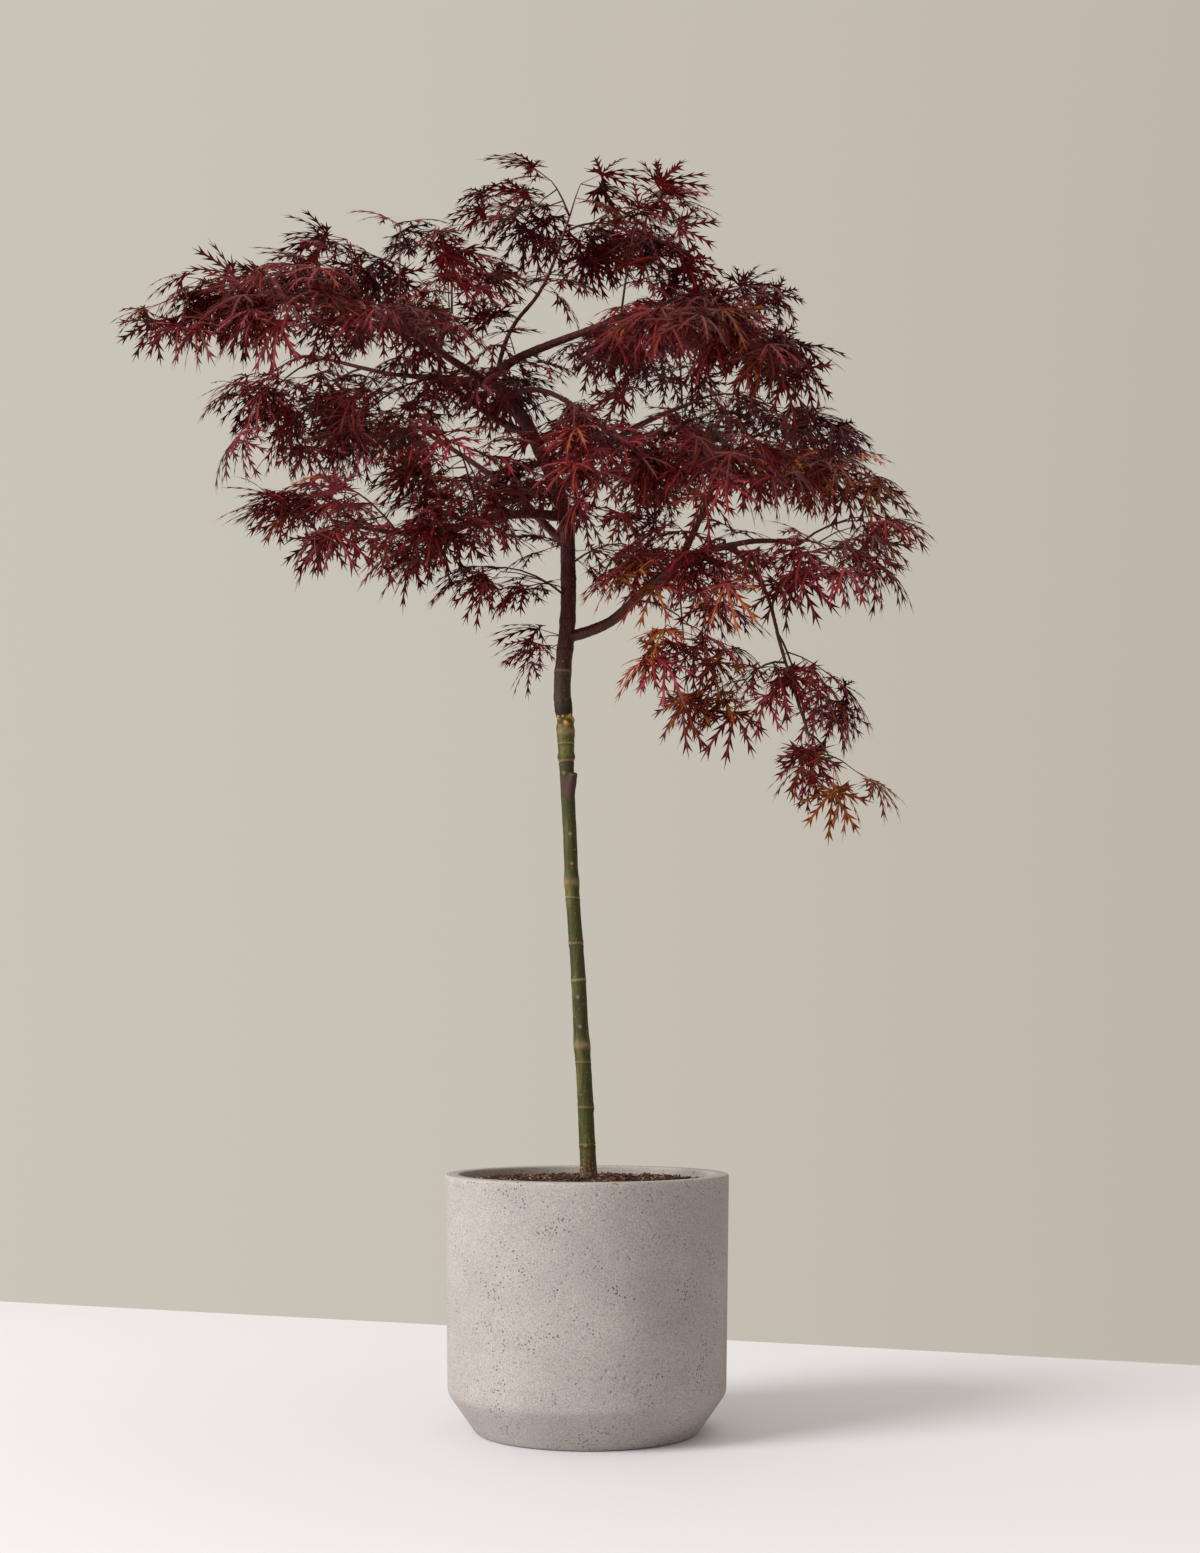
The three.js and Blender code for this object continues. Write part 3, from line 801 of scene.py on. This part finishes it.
def leafVariant(rng):  # stalk along +X, lobes spread like a hand, tips hanging
    bm = bmesh.new()
    rib = leafLayers(bm)[2]
    stalk = leaf["stalk"]
    middle = (len(leaf["lobeSegments"]) - 1) / 2
    for index, segments in enumerate(leaf["lobeSegments"]):
        aside = index - middle
        turn = math.radians(aside * leaf["lobeTurn"] + rng.uniform(-7, 7))
        length = leaf["blade"] * (1 - 0.05 * aside * aside) * rng.uniform(0.86, 1.1)
        lobe = lobeBlade(rng, segments, length)
        place = Matrix.Translation((stalk, 0, 0.0001 * (index % 3)))
        place = place @ Matrix.Rotation(turn, 4, "Z")
        place = place @ Matrix.Rotation(rng.uniform(-0.12, 0.12), 4, "Y")
        place = place @ Matrix.Rotation(rng.uniform(-0.5, 0.5), 4, "X")
        pour(bm, lobe, place)
        bpy.data.meshes.remove(lobe)
    hang = rng.uniform(*leaf["hang"])
    curl = rng.uniform(-0.006, 0.006)
    for vert in bm.verts:
        out = Vector((vert.co.x - stalk, vert.co.y)).length / leaf["blade"]
        vert.co.z -= hang * out * out
        vert.co.y += curl * out * out
    place = Matrix.Translation((stalk / 2, 0, 0)) @ Matrix.Rotation(math.pi / 2, 4, "Y")
    stalkVerts = bmesh.ops.create_cone(
        bm, cap_ends=True, segments=3, radius1=leaf["stalkRadius"] * 1.3,
        radius2=leaf["stalkRadius"], depth=stalk, matrix=place,
    )["verts"]
    for vert in stalkVerts:
        vert[rib] = 1
    return toMesh("leafVariant", bm)


def makeLeafMaterial():
    material, tree, shader = newMaterial("laceLeaf")
    at = objectCoords(tree)
    tone = attribute(tree, "tone")
    base = ramp(tree, tone, [
        (0.0, srgb(50, 3, 8)), (0.35, srgb(80, 6, 13)), (0.65, srgb(104, 11, 19)),
        (0.88, srgb(124, 24, 33)), (1.0, srgb(144, 58, 72)),
    ])
    warm = ramp(tree, noiseOn(tree, at, 70, 3), [
        (0.30, srgb(110, 32, 22)), (0.48, srgb(140, 62, 24)), (0.62, srgb(160, 98, 30)),
        (0.74, srgb(104, 100, 26)),
    ])
    blotch = ramp(tree, noiseOn(tree, at, 190, 3), [(0.35, 0.72), (0.65, 1.2)])
    colour = mixColour(tree, attribute(tree, "warmth"), base, warm)
    colour = mixColour(tree, 1.0, colour, blotch, "MULTIPLY")
    # the midribs and stalks are painted a paler pink: partly their own paler vein colour, partly a painted
    # sheen
    ribSheen = maths(tree, "MULTIPLY", maths(tree, "POWER", attribute(tree, "rib"), 2.0), 0.36)
    colour = mixColour(tree, ribSheen, colour, srgb(136, 46, 54))
    tree.links.new(colour, shader.inputs["Base Color"])
    shader.inputs["Roughness"].default_value = 0.52
    shader.inputs["Specular IOR Level"].default_value = 0.18
    addBump(tree, shader, noiseOn(tree, at, 900, 3), 0.0002, 0.5)
    return material


# twigs and their leaves

spray = {
    "lift": 0.2,  # how far a twig arches, as a part of its span
    "nodeGap": 0.021,  # between pairs of side twigs
    "bareShare": 0.2,  # of a twig, next to the limb
    "sideLength": (0.050, 0.018),  # of side twigs, from a twig's root to its end
    "sideTurn": (0.45, 1.05),  # from their twig's direction
    "sideRise": (-0.9, 0.45),
    "sideGap": 0.019,  # between leaves on a side twig
    "sideLeaf": 0.6,  # chance of each of them
    "fullness": 0.72,  # chance of each side twig
    "sparse": {  # the same on open sprays
        "leaves_scion_1": 0.12, "leaves_scion_2": 0.6, "leaves_left_low_2": 0.2,
        "leaves_left_low_reach_1": 0.4, "leaves_left_low_reach_2": 0.3,
        "leaves_left_mid_1": 0.4, "leaves_left_mid_2": 0.35, "leaves_left_mid_5": 0.45,
        "leaves_left_mid_rise_1": 0.7, "leaves_left_top_1": 0.2, "leaves_left_top_7": 0.4,
        "leaves_back_left_2": 0.25, "leaves_top_2": 0.6,
        "leaves_crown_1": 0.5, "leaves_back_right_1": 0.5,
        "leaves_right_reach_1": 0.35, "leaves_right_low_1": 0.15, "leaves_right_low_2": 0.4,
        "leaves_tail_1": 0.45, "leaves_tail_2": 0.35, "leaves_tail_3": 0.35,
    },
    "moved": {  # where the end of a spray hangs, next to the end of its plain twig
        "leaves_crown_1": (-0.06, 0, -0.06), "leaves_crown_2": (-0.02, 0, 0),
        "leaves_crown_4": (-0.07, 0, -0.01), "leaves_crown_5": (0.05, 0, 0.01),
        "leaves_crown_6": (0.01, 0, -0.04), "leaves_top_1": (-0.03, 0, -0.03),
        "leaves_top_3": (-0.01, 0, -0.04), "leaves_left_top_2": (0.02, 0, -0.01),
        "leaves_left_top_5": (-0.02, 0, -0.05), "leaves_left_top_6": (0.01, 0, -0.045),
        "leaves_left_mid_rise_1": (0, 0, -0.025), "leaves_left_mid_1": (0.04, 0, 0),
        "leaves_left_mid_2": (0.05, 0, -0.02), "leaves_left_mid_5": (0, 0, -0.05),
        "leaves_left_low_1": (0.02, 0, 0.03), "leaves_left_low_reach_1": (0.06, 0, 0.02),
        "leaves_left_low_reach_2": (0.04, 0, 0), "leaves_arch_2": (0.02, 0, -0.07),
        "leaves_back_right_2": (-0.05, 0, 0), "leaves_scion_1": (0, 0, 0.03),
        "leaves_scion_2": (0, 0, 0.03), "leaves_right_rise_1": (-0.02, 0, 0),
        "leaves_right_rise_2": (-0.03, 0, -0.01), "leaves_right_reach_1": (-0.04, 0, 0.03),
        "leaves_right_reach_2": (-0.05, 0, -0.01), "leaves_right_low_2": (-0.01, 0, -0.04),
        "leaves_tail_1": (-0.04, 0, 0.02), "leaves_tail_3": (-0.04, 0, -0.07),
    },
    "leafReach": 0.072,  # from a twig's end to its last leaf's tip
    "steepest": 0.35,  # leaves rise no more than this, and hang three times as much
    "droop": 0.45,  # how far the last leaf hangs below its twig's slope
    "endFan": 0.6,  # turn between the three leaves at a twig's end
    "radius": (0.0013, 0.00055),
    "sideRadius": (0.0008, 0.0004),
    "pitch": (-0.25, 0.65),  # how far leaves dip below their twig's slope
    "size": (0.66, 1.0),
    "warm": {  # share of leaves turned orange or olive
        "leaves_right_low_2": 0.6, "leaves_tail_1": 0.6, "leaves_tail_2": 0.25,
        "leaves_left_top_6": 0.2, "leaves_crown_4": 0.2, "leaves_right_rise_2": 0.2,
    },
    "stray": 0.04,  # the same on any other spray
    "shootGap": 0.036,  # between short shoots along the limbs
    "shootLength": (0.012, 0.035),
    "shootAbove": 0.78,  # no shoots lower than this
    "scionAbove": 0.85,
    "scionShoots": (0.025, 0.06),
}


def addStem(bm, points, radii, sides=5):  # a round tube through the points, closed at both ends
    ring = bmesh.ops.create_circle(bm, segments=sides, radius=1)["verts"]
    edges = [edge for edge in bm.edges[-sides:]]
    first = edges
    before = Matrix.Identity(4)
    for index, (point, radius) in enumerate(zip(points, radii)):
        ahead = points[min(index + 1, len(points) - 1)] - points[max(index - 1, 0)]
        turn = ahead.to_track_quat("Z", "X")
        place = Matrix.LocRotScale(point, turn, Vector((radius, radius, radius)))
        if index:
            made = bmesh.ops.extrude_edge_only(bm, edges=edges)["geom"]
            ring = [item for item in made if isinstance(item, bmesh.types.BMVert)]
            edges = [item for item in made if isinstance(item, bmesh.types.BMEdge)]
        bmesh.ops.transform(bm, matrix=place @ before.inverted(), verts=ring)
        before = place
    bmesh.ops.holes_fill(bm, edges=first + edges, sides=0)


def arch(start, end, lift, count):
    peak = (start + end) / 2 + up * lift * (end - start).length
    steps = [index / (count - 1) for index in range(count)]
    return [start * (1 - t) ** 2 + peak * 2 * t * (1 - t) + end * t * t for t in steps]


def tapered(radii, count):
    return [radii[0] + (radii[1] - radii[0]) * index / (count - 1) for index in range(count)]


class Foliage:  # the twigs and leaves of one spray, as two meshes
    def __init__(self, name, variants):
        self.name = name
        self.variants = variants
        self.rng = random.Random(name)
        self.warmth = max(spray["warm"].get(name, 0), spray["stray"])
        self.fullness = spray["sparse"].get(name, spray["fullness"])
        self.twigs = bmesh.new()
        self.leaves = bmesh.new()
        self.layers = leafLayers(self.leaves)

    def addLeaf(self, point, heading, slope):
        rng = self.rng
        pitch = min(1.35, rng.uniform(*spray["pitch"]) - slope)
        size = rng.uniform(*spray["size"])
        turn = Euler((rng.gauss(0, 0.35), pitch, heading), "XYZ")
        place = Matrix.LocRotScale(point, turn, Vector((size, size, size)))
        tone = min(1, max(0, rng.gauss(0.5, 0.24)))
        turned = rng.random() < self.warmth
        warm = rng.uniform(0.55, 1) if turned else rng.uniform(0, 0.12)
        variant = rng.choice(self.variants)
        low, high = cadBox
        tip = place @ Vector((leaf["stalk"] + leaf["blade"], 0, -leaf["hang"][0]))
        if any(tip[axis] < low[axis] or tip[axis] > high[axis] for axis in range(3)):
            return
        count = len(self.leaves.verts)
        pour(self.leaves, variant, place)
        self.leaves.verts.ensure_lookup_table()
        for vert in self.leaves.verts[count:]:
            vert[self.layers[0]] = tone
            vert[self.layers[1]] = warm

    def addShoot(self, start, away, count, slope):  # a side twig with a fan of leaves
        rng = self.rng
        aside = math.atan2(away.y, away.x)
        path = arch(start, start + away, 0.12, count)
        addStem(self.twigs, path, tapered(spray["sideRadius"], count), 4)
        self.addLeaf(path[-1], aside + rng.gauss(0, 0.2), slope)
        for point in path[1:]:
            for side in (-1, 1):
                if rng.random() < spray["sideLeaf"]:
                    self.addLeaf(point, aside + side * rng.uniform(0.25, 0.85), slope)

    def finish(self, twigBark, leafMaterial, replaced):
        bmesh.ops.recalc_face_normals(self.twigs, faces=self.twigs.faces)
        short = self.name.replace("leaves_", "")
        finishPiece(addObject("twigs_" + short, self.twigs, [twigBark]), "red_bark")
        foliage = addObject("foliage_" + short, self.leaves, [leafMaterial], smooth=False)
        finishPiece(foliage, "leaves", *replaced)
        return len(foliage.data.polygons)


def growSpray(foliage, woodTree):
    rng = foliage.rng
    points = [vert.co for vert in nodes[foliage.name].data.vertices]
    base = min(points, key=lambda point: woodTree.find_nearest(point)[3]).copy()
    far = max(points, key=lambda point: (point - base).length + max(0, point.z - base.z))
    far = far + Vector(spray["moved"].get(foliage.name, (0, 0, 0)))
    reach = far - base
    slope = math.atan2(reach.z, math.hypot(reach.x, reach.y))
    slope = min(spray["steepest"], max(-spray["steepest"] * 3, slope))
    start = woodTree.find_nearest(base)[0] - reach.normalized() * 0.001
    hanging = slope - spray["droop"]  # the slope of the last leaf
    outward = Vector((reach.x, reach.y, 0)).normalized()
    lastLeaf = (outward * math.cos(hanging) + up * math.sin(hanging)) * spray["leafReach"]
    end = far - lastLeaf * min(1, 0.6 * reach.length / spray["leafReach"])
    count = max(4, round((end - start).length / spray["nodeGap"]) + 2)
    path = arch(start, end, spray["lift"], count)
    addStem(foliage.twigs, path, tapered(spray["radius"], count))
    first = max(1, round(count * spray["bareShare"]))
    longest, shortest = spray["sideLength"]
    for index in range(first, count):
        ahead = path[min(index + 1, count - 1)] - path[index - 1]
        heading = math.atan2(ahead.y, ahead.x)
        if index == count - 1:
            for aside in (-spray["endFan"], 0, spray["endFan"]):
                foliage.addLeaf(path[index], heading + aside + rng.gauss(0, 0.12), slope)
            continue
        length = longest + (shortest - longest) * index / count
        for side in (-1, 1):
            if rng.random() > foliage.fullness:
                continue
            aside = heading + side * rng.uniform(*spray["sideTurn"])
            away = Vector((math.cos(aside), math.sin(aside), rng.uniform(*spray["sideRise"])))
            away *= length * rng.uniform(0.7, 1.2)
            steps = max(2, round(away.length / spray["sideGap"]) + 1)
            foliage.addShoot(path[index], away, steps, slope * 0.5)


def growShoots(foliage, node):  # short leafy shoots straight from a limb
    rng = foliage.rng
    bm = mergedCopy([node])
    low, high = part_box(node)
    lowest = spray["scionAbove"] if node == "scion" else spray["shootAbove"]
    spots = [vert for vert in bm.verts if vert.co.z > lowest]
    wanted = min(len(spots), round((high - low).length / spray["shootGap"]))
    for vert in rng.sample(spots, wanted):
        turn = rng.uniform(0, math.tau)
        away = vert.normal + Vector((math.cos(turn), math.sin(turn), 0.2)) * 0.6
        lengths = spray["scionShoots"] if node == "scion" else spray["shootLength"]
        away = away.normalized() * rng.uniform(*lengths)
        foliage.addShoot(vert.co - vert.normal * 0.0005, away, 3, 0)
    bm.free()


def makeFoliage(twigBark):
    rng = random.Random(3)
    variants = [leafVariant(rng) for _ in range(leaf["variants"])]
    limbs = [name for name in nodes if name == "scion" or name.startswith("limb_")]
    wood = mergedCopy(limbs)
    woodTree = BVHTree.FromBMesh(wood)
    wood.free()
    leafMaterial = makeLeafMaterial()
    total = 0
    for name in sorted(nodes):
        if name.startswith("leaves_"):
            foliage = Foliage(name, variants)
            growSpray(foliage, woodTree)
            total += foliage.finish(twigBark, leafMaterial, [name])
    for name in limbs:
        foliage = Foliage("leaves_on_" + name, variants)
        growShoots(foliage, name)
        total += foliage.finish(twigBark, leafMaterial, [])
    print("leaf faces", total, "with", len(variants[0].polygons), "in one leaf")


makeCamera()
makeFloor()
makeLights()
print("stage ready")
makePot(makeConcrete())
makeCompost(makePeat())
print("pot and compost ready")
makeStem(makeGreenBark())
redBark = makeRedBark()
makeLimbs(redBark)
print("stem and limbs ready")
makeFoliage(redBark)
print("foliage ready")
